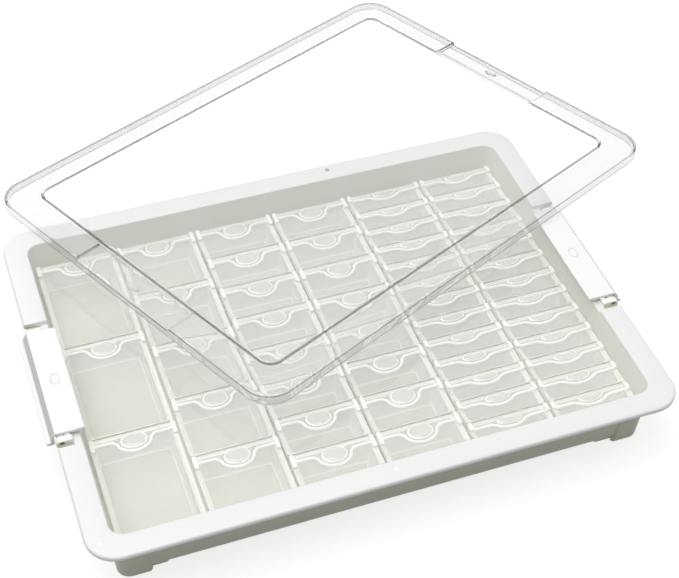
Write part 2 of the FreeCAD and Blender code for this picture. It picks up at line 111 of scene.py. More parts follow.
def rounded_corners(points, closed=False, steps=4):
    """Corners (u, v, radius) turned into a smooth line of (u, v)."""
    line = []
    count = len(points)
    for i, (u, v, radius) in enumerate(points):
        ends = (i == 0 or i == count - 1) and not closed
        if ends or radius <= 0:
            line.append((u, v))
            continue
        here = Vector((u, v))
        before = Vector(points[i - 1][:2]) - here
        after = Vector(points[(i + 1) % count][:2]) - here
        turn = before.angle(after)
        reach = min(radius / math.tan(turn / 2), before.length * 0.49, after.length * 0.49)
        radius = reach * math.tan(turn / 2)
        middle = (before.normalized() + after.normalized()).normalized()
        centre = here + middle * (radius / math.sin(turn / 2))
        first = here + before.normalized() * reach - centre
        last = here + after.normalized() * reach - centre
        sweep = first.angle_signed(last)
        for k in range(steps + 1):
            angle = -sweep * k / steps
            c, s = math.cos(angle), math.sin(angle)
            line.append((centre.x + first.x * c - first.y * s, centre.y + first.x * s + first.y * c))
    return line


def ring_line(half_x, half_y, radius, stations=(), steps=8):
    """Rounded rectangle as (x, y, side) points, with extra points at set distances on both ends."""
    radius = max(radius, 0.05 * MM)
    line = []
    marks = sorted(stations)
    corner = [
        (half_x - radius, half_y - radius, 0.0), (-half_x + radius, half_y - radius, 90.0),
        (-half_x + radius, -half_y + radius, 180.0), (half_x - radius, -half_y + radius, 270.0),
    ]
    for index, (cx, cy, start) in enumerate(corner):
        if index == 0:
            line += [(half_x, y, 1) for y in marks]
        if index == 2:
            line += [(-half_x, y, -1) for y in reversed(marks)]
        for k in range(steps + 1):
            a = math.radians(start + 90.0 * k / steps)
            line.append((cx + radius * math.cos(a), cy + radius * math.sin(a), 0))
    return line


def mesh_piece(name, build, sharp=35.0):
    """Makes a mesh object from a function that fills a bmesh, smooth except at real corners."""
    shape = bmesh.new()
    build(shape)
    bmesh.ops.remove_doubles(shape, verts=shape.verts, dist=1e-6)
    bmesh.ops.recalc_face_normals(shape, faces=shape.faces)
    mesh = bpy.data.meshes.new(name)
    shape.to_mesh(mesh)
    shape.free()
    for face in mesh.polygons:
        face.use_smooth = True
    mesh.set_sharp_from_angle(angle=math.radians(sharp))
    piece = bpy.data.objects.new(name, mesh)
    bpy.context.scene.collection.objects.link(piece)
    return piece


def skin_loops(shape, loops, material=0, row_materials=None):
    """Faces between loops of equal length, and flat ends. Row materials differ from row to row."""
    rows = [[shape.verts.new(p) for p in loop] for loop in loops]
    count = len(rows[0])
    for k, (a, b) in enumerate(zip(rows, rows[1:])):
        for i in range(count):
            j = (i + 1) % count
            face = shape.faces.new((a[i], a[j], b[j], b[i]))
            face.material_index = row_materials[k] if row_materials else material
    for end in (list(reversed(rows[0])), rows[-1]):
        shape.faces.new(end).material_index = material


def soften(piece, width, segments=3, angle=40.0):
    """Small round on every real corner."""
    bevel = piece.modifiers.new("soft_edges", "BEVEL")
    bevel.width = width
    bevel.segments = segments
    bevel.limit_method = "ANGLE"
    bevel.angle_limit = math.radians(angle)
    bevel.harden_normals = True
    return piece


def prism(shape, outline, low, high, along="z", material=0):
    """Upright block of any outline, or one that runs along Y with its outline in X and Z."""
    if along == "z":
        loops = [[Vector((u, v, w)) for u, v in outline] for w in (low, high)]
    else:
        loops = [[Vector((u, w, v)) for u, v in outline] for w in (low, high)]
    skin_loops(shape, loops, material=material)


def circle_line(cu, cv, radius, steps=24):
    return [
        (cu + radius * math.cos(2 * math.pi * k / steps), cv + radius * math.sin(2 * math.pi * k / steps))
        for k in range(steps)
    ]


# Shader groups that several finishes use.
def new_group(name, inputs, outputs):
    group = bpy.data.node_groups.new(name, "ShaderNodeTree")
    for label, kind, value in inputs:
        socket = group.interface.new_socket(name=label, in_out="INPUT", socket_type=kind)
        if value is not None:
            socket.default_value = value
    for label, kind in outputs:
        group.interface.new_socket(name=label, in_out="OUTPUT", socket_type=kind)
    return group, group.nodes.new("NodeGroupInput"), group.nodes.new("NodeGroupOutput")


def link(tree, source, target):
    tree.links.new(source, target)


def moulded_surface_group():
    """Faint waviness and cloudy tone of moulded plastic, with fine scuffs in its gloss."""
    group, given, out = new_group(
        "moulded_surface",
        [
            ("Tone", "NodeSocketColor", (0.9, 0.9, 0.9, 1)),
            ("Shade", "NodeSocketColor", (0.8, 0.8, 0.8, 1)),
            ("Gloss", "NodeSocketFloat", 0.3),
            ("Wave", "NodeSocketFloat", 1.0),
        ],
        [("Color", "NodeSocketColor"), ("Roughness", "NodeSocketFloat"), ("Height", "NodeSocketFloat")],
    )
    where = group.nodes.new("ShaderNodeTexCoord")
    cloud = group.nodes.new("ShaderNodeTexNoise")
    cloud.inputs["Scale"].default_value = 14.0
    cloud.inputs["Detail"].default_value = 3.0
    link(group, where.outputs["Object"], cloud.inputs["Vector"])
    mix = group.nodes.new("ShaderNodeMix")
    mix.data_type = "RGBA"
    link(group, cloud.outputs["Fac"], mix.inputs["Factor"])
    link(group, given.outputs["Tone"], mix.inputs["A"])
    link(group, given.outputs["Shade"], mix.inputs["B"])
    link(group, mix.outputs["Result"], out.inputs["Color"])
    scuff = group.nodes.new("ShaderNodeTexNoise")
    scuff.inputs["Scale"].default_value = 220.0
    scuff.inputs["Detail"].default_value = 6.0
    link(group, where.outputs["Object"], scuff.inputs["Vector"])
    vary = group.nodes.new("ShaderNodeMath")
    vary.operation = "MULTIPLY_ADD"
    vary.inputs[1].default_value = 0.16
    link(group, scuff.outputs["Fac"], vary.inputs[0])
    link(group, given.outputs["Gloss"], vary.inputs[2])
    link(group, vary.outputs[0], out.inputs["Roughness"])
    wave = group.nodes.new("ShaderNodeTexNoise")
    wave.inputs["Scale"].default_value = 45.0
    wave.inputs["Detail"].default_value = 1.0
    link(group, where.outputs["Object"], wave.inputs["Vector"])
    size = group.nodes.new("ShaderNodeMath")
    size.operation = "MULTIPLY"
    link(group, wave.outputs["Fac"], size.inputs[0])
    link(group, given.outputs["Wave"], size.inputs[1])
    link(group, size.outputs[0], out.inputs["Height"])
    return group


moulded_surface = moulded_surface_group()


def finish_of(name, tone, shade, gloss, wave=1.0, bump=0.05):
    """Material with the moulded surface group on a Principled shader."""
    material = bpy.data.materials.new(name)
    material.use_nodes = True
    tree = material.node_tree
    shader = tree.nodes["Principled BSDF"]
    group = tree.nodes.new("ShaderNodeGroup")
    group.node_tree = moulded_surface
    group.inputs["Tone"].default_value = (*tone, 1)
    group.inputs["Shade"].default_value = (*shade, 1)
    group.inputs["Gloss"].default_value = gloss
    group.inputs["Wave"].default_value = wave
    link(tree, group.outputs["Color"], shader.inputs["Base Color"])
    link(tree, group.outputs["Roughness"], shader.inputs["Roughness"])
    relief = tree.nodes.new("ShaderNodeBump")
    relief.inputs["Strength"].default_value = bump
    relief.inputs["Distance"].default_value = 1.0 * MM
    link(tree, group.outputs["Height"], relief.inputs["Height"])
    link(tree, relief.outputs["Normal"], shader.inputs["Normal"])
    return material, tree, shader


def let_light_through(tree, shader, seen, shadow):
    """Alpha that is one value where the plastic is seen, and another for the light it holds back."""
    path = tree.nodes.new("ShaderNodeLightPath")
    falling = tree.nodes.new("ShaderNodeMath")
    falling.operation = "MAXIMUM"
    link(tree, path.outputs["Is Shadow Ray"], falling.inputs[0])
    link(tree, path.outputs["Is Diffuse Ray"], falling.inputs[1])
    open_up = tree.nodes.new("ShaderNodeMath")
    open_up.operation = "MULTIPLY_ADD"
    open_up.inputs[1].default_value = shadow - seen
    open_up.inputs[2].default_value = seen
    link(tree, falling.outputs[0], open_up.inputs[0])
    link(tree, open_up.outputs[0], shader.inputs["Alpha"])


def clear_plastic(name, tone, shade, gloss, clear, shadow, bump=0.05):
    """Plastic that lets light through. Clear is how much is glass rather than milky, and shadow
    is the share that it holds back of the light that falls through it."""
    material, tree, shader = finish_of(name, tone, shade, gloss, 1.0, bump)
    shader.inputs["Transmission Weight"].default_value = clear
    shader.inputs["IOR"].default_value = 1.46
    let_light_through(tree, shader, 1.0, shadow)
    return material


def milky_painted_light(name, tone, shade, gloss, cover, shadow):
    """Whitish see-through plastic, painted light standing in for the bright look of ribs, ears and edges.
    Cover is how much it hides of what lies behind.
    """
    material, tree, shader = finish_of(name, tone, shade, gloss, 0.6, 0.05)
    let_light_through(tree, shader, cover, shadow)
    return material


tray_white = finish_of("tray_rim_plastic", (0.84, 0.845, 0.84), (0.81, 0.815, 0.81), 0.28, 1.0, 0.04)[0]
# The tray's outer side, feet and corner panels: a darker olive copy of the rim plastic, painted shade under
# the rim.
tray_outside_shaded = finish_of("tray_side_painted_shade", (0.66, 0.645, 0.53), (0.60, 0.585, 0.475), 0.34, 1.0, 0.04)[0]
# Inside of the tray: a lighter, warmer copy of the rim plastic, painted light for the light bounced inside it.
# The lugs and the front mould marks use it too.
tray_inside_lit = finish_of("tray_inside_painted_light", (0.93, 0.935, 0.88), (0.89, 0.895, 0.83), 0.3, 1.0, 0.04)[0]
# Tray floor: a darker olive copy of the rim plastic with dark cloudy blotches, painted shade under the
# containers.
tray_floor_shaded = finish_of("tray_floor_painted_shade", (0.70, 0.71, 0.64), (0.56, 0.57, 0.50), 0.3, 1.0, 0.04)[0]
gap_shade = finish_of("latch_gap_shade", (0.50, 0.51, 0.40), (0.40, 0.41, 0.32), 0.5, 0.5, 0.02)[0]
latch_white = finish_of("latch_white_plastic", (0.93, 0.93, 0.935), (0.90, 0.90, 0.905), 0.22, 0.8, 0.04)[0]
# Rolled outer edge of the latches: a grey copy of the latch plastic, painted shade.
latch_roll_shaded = finish_of("latch_rolled_edge_painted_shade", (0.60, 0.60, 0.61), (0.54, 0.54, 0.55), 0.3, 0.8, 0.04)[0]
# Thumb mark on the latch: a darker band, painted shade for the inside of a pressed-in hollow.
thumb_shade = finish_of("latch_thumb_mark_painted_shade", (0.80, 0.80, 0.765), (0.68, 0.69, 0.64), 0.3, 0.8, 0.04)[0]
pin_shade = finish_of("pin_recess_shade", (0.25, 0.26, 0.22), (0.18, 0.19, 0.16), 0.5, 0.5, 0.02)[0]
cover_clear = clear_plastic(
    "cover_clear_plastic", (0.985, 0.99, 0.985), (0.97, 0.975, 0.97), -0.09, 1.0, 0.02, 0.0
)
cover_band = clear_plastic(
    "cover_band_plastic", (0.925, 0.93, 0.925), (0.88, 0.885, 0.88), -0.07, 0.88, 0.06, 0.02
)
# Near-black plastic on the cover's bends: painted dark reflections along its edges.
cover_edge_reflection_lines = clear_plastic(
    "cover_edge_painted_reflection", (0.24, 0.245, 0.24), (0.16, 0.165, 0.16), -0.06, 0.9, 0.1, 0.0
)
# Container floors: partly the clear plastic's own tint, partly painted shade, as a greyer olive copy with dark
# cloudy blotches.
tub_floor_shaded = clear_plastic(
    "container_floor_painted_shade", (0.93, 0.935, 0.895), (0.78, 0.79, 0.72), -0.02, 0.8, 0.06, 0.08
)
# Container walls: a whiter, milkier copy of the clear plastic, painted light shining through the walls.
tub_wall_lit = clear_plastic(
    "container_wall_painted_light", (0.99, 0.99, 0.975), (0.965, 0.965, 0.94), 0.1, 0.4, 0.04, 0.08
)
lid_clear = clear_plastic(
    "flip_lid_clear_plastic", (0.995, 0.995, 0.98), (0.975, 0.975, 0.95), -0.05, 0.85, 0.02, 0.10
)
# Lid ribs and the rims of the thumb domes: whitish copy of the clear plastic, painted highlight.
rib_highlight_milky = milky_painted_light("flip_lid_rib_painted_highlight", (0.99, 0.99, 0.975), (0.97, 0.97, 0.95), 0.12, 0.8, 0.15)
# Container ledges and lid edges: whitish copy of the clear plastic, painted light over the shade of the gaps.
edge_milky_lit = milky_painted_light("container_ledge_painted_light", (0.93, 0.93, 0.865), (0.88, 0.88, 0.81), 0.2, 0.6, 0.15)
# Lid ears: whitish copy of the clear plastic, painted highlight.
ear_highlight_milky = milky_painted_light("flip_lid_ear_painted_highlight", (0.985, 0.985, 0.95), (0.96, 0.96, 0.92), 0.15, 0.85, 0.2)


def corner_radius(inset):
    """The tray's corner radius at a distance inside the rim's edge."""
    insets = [0.0, 12.0 * MM, 14.0 * MM, 17.2 * MM, 30.0 * MM]
    radii = [17.0 * MM, 10.0 * MM, 8.0 * MM, 5.0 * MM, 3.0 * MM]
    return float(np.interp(inset, insets, radii))


def make_tray():
    """Tray: one skin from its underside, over the rim with its turned-down lip, to its floor."""
    wall_out = RIM_WIDTH - WALL
    drop = rim_top - underside
    section = rounded_corners([
        (wall_out + drop * WALL_SLOPE + 12 * MM, underside, 0),
        (wall_out + drop * WALL_SLOPE, underside, 5.0 * MM),
        (wall_out + RIM_THICKNESS * WALL_SLOPE, rim_top - RIM_THICKNESS, 0.8 * MM),
        (WALL, rim_top - RIM_THICKNESS, 0.5 * MM),
        (WALL, rim_top - RIM_LIP, 0.3 * MM),
        (0, rim_top - RIM_LIP, 0.5 * MM),
        (0, rim_top, 1.4 * MM),
        (RIM_WIDTH, rim_top, 1.1 * MM),
        (RIM_WIDTH + (rim_top - floor_top) * WALL_SLOPE, floor_top, 1.8 * MM),
        (RIM_WIDTH + 14 * MM, floor_top, 0),
    ])
    marks = [s * v for s in (-1, 1) for v in (bay_half, bay_half + 0.8 * MM)]

    def build(shape):
        loops = []
        for inset, z in section:
            loop = []
            for x, y, side in ring_line(
                half_length - inset, half_width - inset, corner_radius(inset), marks
            ):
                rim_part = inset < RIM_WIDTH + 0.6 * MM and z > rim_top - 5 * MM
                if side and abs(y) < bay_half + 0.1 * MM and rim_part:
                    x = side * (half_length - max(inset, BAY_CUT))
                    loop.append(Vector((x, y, z - BAY_DEPTH)))
                else:
                    loop.append(Vector((x, y, z)))
            loops.append(loop)
        skin_loops(shape, loops, material=3, row_materials=row_materials)

    lip = min(range(len(section)), key=lambda k: section[k][0])
    row_materials = []
    # Rows below the lip take the outer side's painted shade, rim rows the plastic's own colour, inner wall
    # rows the inside's painted light and floor rows the floor's painted shade.
    for k, (inset, z) in enumerate(section[1:]):
        if k < lip:
            row_materials.append(1)
        elif inset < RIM_WIDTH + 0.3 * MM:
            row_materials.append(0)
        else:
            row_materials.append(3 if z < floor_top + 0.3 * MM else 2)
    tray = mesh_piece("tray_shell", build)
    for material in (tray_white, tray_outside_shaded, tray_inside_lit, tray_floor_shaded):
        tray.data.materials.append(material)
    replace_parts(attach(tray, "tray"), "tray")


def make_feet():
    """Low corner feet that follow the body's round corners."""
    slope_in = (rim_top - underside) * WALL_SLOPE
    reach_x = half_length - RIM_WIDTH + WALL - slope_in - FOOT_INSET
    reach_y = half_width - RIM_WIDTH + WALL - slope_in - FOOT_INSET
    for sx, side in ((-1, "left"), (1, "right")):
        for sy, end in ((-1, "front"), (1, "back")):
            outline = rounded_corners([
                (sx * (reach_x - FOOT_LENGTH), sy * (reach_y - FOOT_LENGTH), 2 * MM),
                (sx * reach_x, sy * (reach_y - FOOT_LENGTH), 2 * MM),
                (sx * reach_x, sy * reach_y, 10 * MM),
                (sx * (reach_x - FOOT_LENGTH), sy * reach_y, 2 * MM),
            ], closed=True)
            foot = mesh_piece(
                f"foot_{end}_{side}",
                lambda shape: prism(shape, outline, 0.0, underside + WALL / 2),
            )
            soften(foot, 0.5 * MM)
            # Painted shade: the darker olive copy of the rim plastic.
            foot.data.materials.append(tray_outside_shaded)
            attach(foot, "tray")


def corner_path(sx, sy, inset, length):
    """Line along the body's corner at a distance inside the rim's edge."""
    x, y, radius = half_length - inset, half_width - inset, corner_radius(inset)
    line = [(x - length, y)]
    for k in range(9):
        a = math.radians(90.0 - 90.0 * k / 8)
        line.append((x - radius + radius * math.cos(a), y - radius + radius * math.sin(a)))
    line.append((x, y - length))
    return [(sx * u, sy * v) for u, v in line]


def make_corner_panels():
    """Slightly proud corner panels of the body above the feet, with a clear step at each end."""
    for sx, side in ((-1, "left"), (1, "right")):
        for sy, end in ((-1, "front"), (1, "back")):
            def build(shape):
                loops = []
                for z in (0.6 * MM, rim_top - RIM_THICKNESS - 0.2 * MM):
                    wall = RIM_WIDTH - WALL + (rim_top - max(z, underside)) * WALL_SLOPE
                    outer = corner_path(sx, sy, wall - PANEL_PROUD, PANEL_LENGTH)
                    inner = corner_path(sx, sy, wall + 1.0 * MM, PANEL_LENGTH)
                    loops.append([Vector((u, v, z)) for u, v in outer + inner[::-1]])
                skin_loops(shape, loops)

            panel = mesh_piece(f"corner_panel_{end}_{side}", build)
            # Painted shade: the darker olive copy of the rim plastic.
            panel.data.materials.append(tray_outside_shaded)
            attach(panel, "tray")


def make_lugs():
    """Pin lugs at both ends of each latch, with a dark ring of shade round each pin."""
    top = rim_top
    bottom = rim_top - BAY_DEPTH - RIM_THICKNESS
    for sx, side in ((-1, "left"), (1, "right")):
        for sy, end in ((-1, "front"), (1, "back")):
            near = sx * (half_length - BAY_CUT - 1 * MM)
            far = sx * half_length
            outline = rounded_corners([
                (near, bottom, 0.3 * MM), (far, bottom, 1.5 * MM),
                (far, top, 1.8 * MM), (near, top, 1.2 * MM),
            ], closed=True)
            start = sy * (latch_half + LUG_GAP)
            stop = sy * (latch_half + LUG_GAP + LUG)

            def build(shape):
                prism(shape, outline, start, stop, along="y")

            lug = mesh_piece(f"pin_lug_{end}_{side}", build)
            soften(lug, 0.4 * MM)
            # The lugs take the inside's lighter copy, painted light.
            lug.data.materials.append(tray_inside_lit)
            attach(lug, "tray")

            def build_shade(shape):
                line = circle_line(sx * pivot_x, pivot_z, PIN_RADIUS * 0.6)
                prism(shape, line, stop, stop + sy * 0.12 * MM, along="y")

            dot = mesh_piece(f"pin_shade_{end}_{side}", build_shade)
            dot.data.materials.append(pin_shade)
            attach(dot, "tray")

            # A dark plate on the bay floor beyond each lug, painted shade of the gap to the bay's end.
            def build_gap_shade(shape):
                line = rounded_corners([
                    (near, stop, 0.5 * MM), (far - sx * 1.2 * MM, stop, 0.5 * MM),
                    (far - sx * 1.2 * MM, sy * (bay_half - 0.1 * MM), 0.5 * MM),
                    (near, sy * (bay_half - 0.1 * MM), 0.5 * MM),
                ], closed=True)
                floor = rim_top - BAY_DEPTH
                prism(shape, line, floor - 0.5 * MM, floor + 0.15 * MM)

            gap = mesh_piece(f"latch_gap_{end}_{side}", build_gap_shade)
            gap.data.materials.append(gap_shade)
            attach(gap, "tray")


def make_moulding_marks():
    """Tiny round marks of the mould on top of the rim."""
    # The front marks take the inside's lighter copy, painted light; the back mark takes the latch gap's darker
    # colour.
    for place, x, y, radius, material in (
        ("front_middle", -1.4, -118.5, 1.3, tray_inside_lit),
        ("front_left", -160.8, -115.5, 1.3, tray_inside_lit),
        ("back", 43.1, 121.5, 1.5, gap_shade),
    ):
        def build(shape):
            loops = []
            for scale, height in ((1.0, -0.2), (1.0, 0.06), (0.8, 0.16), (0.5, 0.1), (0.3, 0.04)):
                line = circle_line(x * MM, y * MM, radius * scale * MM)
                loops.append([Vector((u, v, rim_top + height * MM)) for u, v in line])
            skin_loops(shape, loops)

        mark = mesh_piece(f"mould_mark_{place}", build)
        mark.data.materials.append(material)
        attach(mark, "tray")


def latch_section(side):
    """Section of a latch about its pivot: plate, rolled edge, drop and grip lip."""
    reach = (latch_high.x + pivot_x)
    top = latch_high.z - pivot_z
    bottom = top - 2.0 * MM
    out = -5.5 * MM
    drop = latch_low.z - pivot_z
    roll = -2.9 * MM
    corners = [
        (reach, top, 0.9 * MM), (reach, bottom, 0.9 * MM), (out + 2 * MM, bottom, 1.2 * MM),
        (out + 2 * MM, drop, 0.5 * MM), (out - 2.4 * MM, drop, 0.6 * MM),
        (out - 2.4 * MM, drop + 1.4 * MM, 0.6 * MM), (out, drop + 2.0 * MM, 0.5 * MM),
        (out + 0.1 * MM, top - 3.6 * MM, 0.6 * MM), (roll, top, 1.0 * MM),
    ]
    line = rounded_corners(corners, closed=True, steps=6)
    if side > 0:
        line = [(-u, v) for u, v in reversed(line)]
    return [(side * pivot_x + u, pivot_z + v) for u, v in line]


def make_latch(name, side):
    """Snap latch with its pins and a thumb mark on the plate: a low ring with a band of painted shade inside
    it, standing in for a pressed-in hollow.
    """
    section = latch_section(side)
    plate_top = latch_high.z

    def build(shape):
        prism(shape, section, -latch_half, latch_half, along="y")
        # Faces on the rolled outer edge take the grey second material, painted shade.
        for face in shape.faces:
            middle = face.calc_center_median()
            outwards = side * middle.x - pivot_x
            if len(face.verts) == 4 and outwards > 2.8 * MM and middle.z > plate_top - 4.2 * MM:
                face.material_index = 1
        for end in (-1, 1):
            line = circle_line(side * pivot_x, pivot_z, BOSS_RADIUS)
            prism(shape, line, end * (latch_half - 5 * MM), end * latch_half, along="y")
            line = circle_line(side * pivot_x, pivot_z, PIN_RADIUS)
            prism(shape, line, end * (latch_half - 1 * MM), end * (latch_half + LUG_GAP + LUG), along="y")
        middle = side * (pivot_x - 5.5 * MM)
        loops = []
        for radius, height in (
            (5.4, -0.2), (5.1, 0.15), (4.8, 0.22), (4.4, 0.12), (3.2, 0.04), (2.9, 0.03),
        ):
            loops.append([
                Vector((middle + 0.65 * (x - middle), y, plate_top + height * MM))
                for x, y in circle_line(middle, 0.0, radius * MM, 32)
            ])
        # The fourth row, inside the raised ring, is painted shade.
        skin_loops(shape, loops, row_materials=[0, 0, 0, 2, 0])

    latch = mesh_piece(f"{name}_plate", build)
    soften(latch, 0.5 * MM)
    for material in (latch_white, latch_roll_shaded, thumb_shade):
        latch.data.materials.append(material)
    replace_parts(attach(latch, name), name)


def make_cover():
    """Clear cover: skirt, flat band with a low place for each latch, and a raised panel."""
    section = rounded_corners([
        (COVER_BAND + 12 * MM, COVER_STEP - COVER_WALL, 0),
        (COVER_BAND + COVER_WALL, COVER_STEP - COVER_WALL, 0.5 * MM),
        (COVER_BAND + COVER_WALL, -COVER_WALL, 0.8 * MM),
        (COVER_BAND - 0.7 * MM, -COVER_WALL, 0),
        (COVER_WALL, -COVER_WALL, 1.0 * MM),
        (COVER_WALL, -COVER_SKIRT, 0.3 * MM),
        (0, -COVER_SKIRT, 0.4 * MM),
        (0, 0, 1.6 * MM),
        (COVER_BAND, 0, 0.7 * MM),
        (COVER_BAND, COVER_STEP, 1.2 * MM),
        (COVER_BAND + 12 * MM, COVER_STEP, 0),
    ])
    insets = [0.0, 18.8 * MM, 20.4 * MM, 31.0 * MM]
    radii = [17.0 * MM, 9.0 * MM, 7.4 * MM, 4.0 * MM]
    edge = COVER_RECESS_HALF
    marks = [s * v for s in (-1, 1) for v in (edge, edge + 0.9 * MM)]
    place = Matrix.Translation(COVER_PLACE) @ COVER_TURN.to_matrix().to_4x4()

    def build(shape):
        loops = []
        flat = COVER_BAND - 0.75 * MM
        row_materials = []
        for (inset_a, z_a), (inset_b, z_b) in zip(section, section[1:]):
            inset, z = (inset_a + inset_b) / 2, (z_a + z_b) / 2
            # Lip, outer bend and step rows take the near-black third material, painted dark reflections.
            lip = z < -COVER_SKIRT + 0.5 * MM
            outer_bend = inset < 0.45 * MM and z > -1.2 * MM
            step_bend = COVER_BAND - 0.1 * MM < inset < COVER_BAND + 0.5 * MM and z > 1.1 * MM
            step_face = abs(inset - COVER_BAND) < 0.2 * MM and 0.5 * MM < z < 1.2 * MM
            if lip or outer_bend or step_bend or step_face:
                row_materials.append(2)
            else:
                row_materials.append(int(min(inset_a, inset_b) < flat))
        for inset, z in section:
            radius = float(np.interp(inset, insets, radii))
            loop = []
            for x, y, side in ring_line(half_length - inset, half_width - inset, radius, marks, 12):
                in_band = inset < COVER_BAND - 0.6 * MM and z > -COVER_WALL - 1.2 * MM
                low = side and abs(y) < edge + 0.1 * MM and in_band
                loop.append(place @ Vector((x, y, z - COVER_RECESS if low else z)))
            loops.append(loop)
        skin_loops(shape, loops, row_materials=row_materials)

    cover = mesh_piece("cover_shell", build)
    for material in (cover_clear, cover_band, cover_edge_reflection_lines):
        cover.data.materials.append(material)
    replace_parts(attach(cover, "tray_lid"), "tray_lid")
    for side, name in ((-1, "left"), (1, "right")):
        centre_x = side * (half_length - COVER_BAND / 2)

        def build_bump(shape):
            loops = []
            for scale, height in ((1.0, -0.3), (0.98, 0.3), (0.85, 0.7), (0.5, 0.95)):
                loops.append([
                    place @ Vector((
                        centre_x + 2.5 * MM * scale * math.cos(a),
                        5.0 * MM * scale * math.sin(a),
                        -COVER_RECESS + height * MM,
                    ))
                    for a in (2 * math.pi * k / 24 for k in range(24))
                ])
            skin_loops(shape, loops)

        bump = mesh_piece(f"cover_catch_{name}", build_bump)
        bump.data.materials.append(cover_band)
        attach(bump, "tray_lid")


def tub_mesh(kind, half_x, half_y, height):
    """Open clear container with round corners, a ledge and a soft floor edge."""
    slope_in = height * TUB_SLOPE
    wall_in = slope_in + TUB_WALL
    section = rounded_corners([
        (slope_in + 5 * MM, 0, 0),
        (slope_in, 0, 1.6 * MM),
        (0.1 * MM, height - LEDGE_THICKNESS, 0.5 * MM),
        (-1.0, height - LEDGE_THICKNESS, 0.3 * MM),
        (-1.0, height, 0.4 * MM),
        (TUB_WALL, height, 0.5 * MM),
        (wall_in, TUB_WALL, 1.8 * MM),
        (wall_in + 4 * MM, TUB_WALL, 0),
    ], steps=3)

    def build(shape):
        loops = []
        for inset, z in section:
            if inset < -0.3 * MM:
                share = min(1.0, -inset)
                x, y = half_x - 0.02 * MM * (1 - share), half_y
                x, y = half_x, half_y
                if share < 0.999:
                    x -= SIDE_LEDGE * (1 - share)
                    y -= END_LEDGE * (1 - share)
            else:
                x = half_x - SIDE_LEDGE - inset
                y = half_y - END_LEDGE - inset
            radius = 2.2 * MM if inset < TUB_WALL else 1.4 * MM
            loops.append([Vector((u, v, z)) for u, v, _ in ring_line(x, y, radius, (), 4)])
        skin_loops(shape, loops, row_materials=row_materials)

    row_materials = []
    # Floor rows take the floor's painted shade, wall rows the walls' painted light and ledge rows the ledges'
    # painted light.
    for a, b in zip(section, section[1:]):
        z = (a[1] + b[1]) / 2
        row_materials.append(0 if z < 1.5 * MM else 1 if z < height - LEDGE_THICKNESS - 0.1 * MM else 2)
    piece = mesh_piece(f"{kind}_tub", build)
    for material in (tub_floor_shaded, tub_wall_lit, edge_milky_lit):
        piece.data.materials.append(material)
    return piece


def thumb_oval(half_y):
    """Half length, half width and middle of the thumb oval, narrower on the shortest lids."""
    across = min(THUMB_ACROSS, half_y * 0.5)
    return THUMB_ALONG, across, half_y - across


def rib_path(half_x, half_y):
    """Line of the rib inside the back edge, swept forward round the thumb oval."""
    along, across, centre = thumb_oval(half_y)
    half_width = RIB_WIDTH / 2
    straight = half_y - RIB_INSET - half_width
    meet = math.asin((straight - centre) / (across + half_width))
    start = math.pi - meet
    finish = 2 * math.pi + meet
    steps = 24
    round_part = [
        (
            (along + half_width) * math.cos(start + (finish - start) * k / steps),
            centre + (across + half_width) * math.sin(start + (finish - start) * k / steps),
        )
        for k in range(steps + 1)
    ]
    flare = 1.6 * MM
    left_end = (-half_x + EAR_WIDTH * 0.6, straight)
    right_end = (half_x - EAR_WIDTH * 0.6, straight)
    before = (round_part[1][0] - flare * 1.4, straight - 0.15 * MM)
    after = (-before[0], before[1])
    return [left_end, (before[0] - 2 * flare, straight), before, *round_part[2:-2],
            after, (after[0] + 2 * flare, straight), right_end]


def sweep(shape, path, base, width, height, material=0, steps=8):
    """Half-round bead along a flat path."""
    loops = []
    for i, (x, y) in enumerate(path):
        before = Vector(path[max(i - 1, 0)])
        after = Vector(path[min(i + 1, len(path) - 1)])
        along = (after - before).normalized()
        across = Vector((-along.y, along.x))
        loop = []
        for k in range(steps + 1):
            a = math.pi * k / steps
            off = across * (math.cos(a) * width / 2)
            loop.append(Vector((x + off.x, y + off.y, base + math.sin(a) * height)))
        loops.append(loop)
    skin_loops(shape, loops, material=material)


